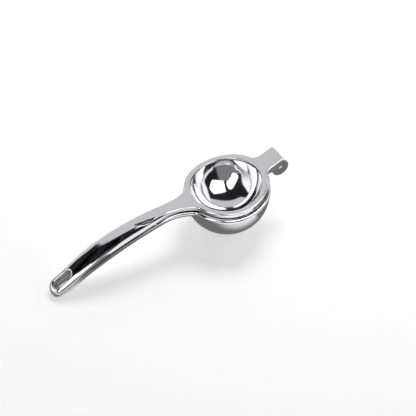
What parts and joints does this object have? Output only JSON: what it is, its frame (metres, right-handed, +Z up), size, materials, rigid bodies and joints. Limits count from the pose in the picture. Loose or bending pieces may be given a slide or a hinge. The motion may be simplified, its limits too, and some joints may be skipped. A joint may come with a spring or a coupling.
{
  "type": "hinged citrus squeezer",
  "caption": "Hinged die-cast lemon and lime squeezer: press arm with a bowl over a drained cup arm, two long grips.",
  "frame": {"origin": "on the table, under the middle of the squeezer's length and width, closed and at rest", "axes": "+X from the grips to the hinge, +Y across the grips, +Z up"},
  "size_m": [0.2066, 0.0696, 0.0537],
  "materials": {
    "arm_chrome": "polished chrome plating on a zinc die casting",
    "pin_steel": "bright steel, domed ends"
  },
  "bodies": {
    "cup": {"cup_arm": "arm_chrome", "hinge_pin": "pin_steel"},
    "press": {"press_arm": "arm_chrome"}
  },
  "joints": [
    {"name": "press_hinge", "type": "hinge", "parent": "cup", "child": "press", "pos_m": [0.09599, 0, 0.04482], "axis": [0, 1, 0], "range_deg": [0, 115]}
  ]
}
